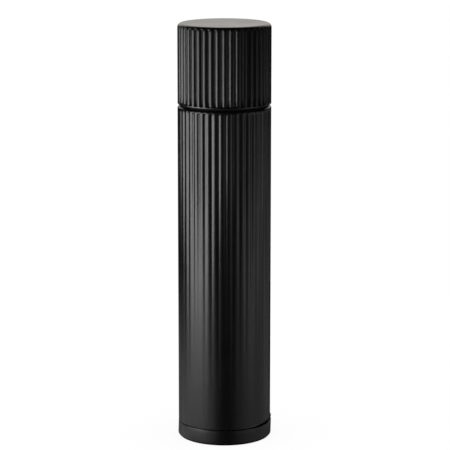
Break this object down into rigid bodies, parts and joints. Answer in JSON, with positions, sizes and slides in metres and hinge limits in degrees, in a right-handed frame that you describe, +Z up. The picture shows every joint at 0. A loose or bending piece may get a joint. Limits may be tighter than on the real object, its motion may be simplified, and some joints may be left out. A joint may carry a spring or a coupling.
{
  "type": "vacuum flask",
  "caption": "Slim double-walled vacuum flask with a fluted body, a fluted screw-on cup over a push-button pour stopper, and a separate base cover.",
  "frame": {"origin": "centre of the foot, on the plane that the flask stands on", "axes": "+Z up along the flask's axis; -Y is the side of the pour slot"},
  "size_m": [0.0658, 0.0658, 0.293],
  "materials": {
    "black_coat": "satin black powder coat",
    "steel": "brushed stainless steel",
    "copper": "bright copper foil",
    "getter_metal": "sintered pellet",
    "braze": "brazing glass bead",
    "black_rubber": "matte black rubber",
    "black_plastic": "fine-textured black polypropylene",
    "foam": "expanded foam",
    "silicone": "translucent silicone",
    "black_silicone": "matte black silicone",
    "button_plastic": "satin dark grey polypropylene"
  },
  "bodies": {
    "root": {"outer_shell": "black_coat", "outer_bottom": "steel", "inner_bottle": "steel", "copper_foil": "copper", "getter": "getter_metal", "vacuum_seal": "braze", "base_cover": "black_coat", "base_foot": "black_rubber"},
    "cup_seal": {"cup_seal_ring": "black_silicone"},
    "cup": {"cup_shell": "black_coat", "cup_liner": "black_plastic", "cup_insulation": "foam"},
    "stopper_seal": {"stopper_gasket": "silicone"},
    "stopper": {"stopper_body": "black_plastic", "stopper_insulation": "foam", "stopper_housing": "black_plastic", "button_spring": "steel"},
    "button": {"push_button": "button_plastic", "valve_stem": "steel", "valve_disc": "black_plastic", "valve_seal": "silicone"},
    "tab_left": {"release_tab_left": "button_plastic"},
    "tab_right": {"release_tab_right": "button_plastic"}
  },
  "joints": [
    {"name": "cup_lift", "type": "slide", "parent": "root", "child": "cup_seal", "axis": [0, 0, 1], "range_m": [0, 0.07]},
    {"name": "cup_turn", "type": "hinge", "parent": "cup_seal", "child": "cup", "pos_m": [0, 0, 0.236], "axis": [0, 0, 1], "range_deg": [0, 2801]},
    {"name": "stopper_lift", "type": "slide", "parent": "root", "child": "stopper_seal", "axis": [0, 0, 1], "range_m": [0, 0.021]},
    {"name": "stopper_turn", "type": "hinge", "parent": "stopper_seal", "child": "stopper", "pos_m": [0, 0, 0.252], "axis": [0, 0, 1], "range_deg": [0, 946]},
    {"name": "button_push", "type": "slide", "parent": "stopper", "child": "button", "axis": [0, 0, -1], "range_m": [0, 0.0035], "stiffness_N_per_m": 600, "springref_m": -0.0005, "deforming": ["button_spring"]},
    {"name": "tab_left_squeeze", "type": "slide", "parent": "stopper", "child": "tab_left", "axis": [1, 0, 0], "range_m": [0, 0.0012], "stiffness_N_per_m": 1500},
    {"name": "tab_right_squeeze", "type": "slide", "parent": "stopper", "child": "tab_right", "axis": [-1, 0, 0], "range_m": [0, 0.0012], "stiffness_N_per_m": 1500}
  ],
  "couplings": [
    {"joint": "cup_turn", "follows": "cup_lift", "rad_per_m": 698.13},
    {"joint": "stopper_turn", "follows": "stopper_lift", "rad_per_m": 785.4}
  ]
}
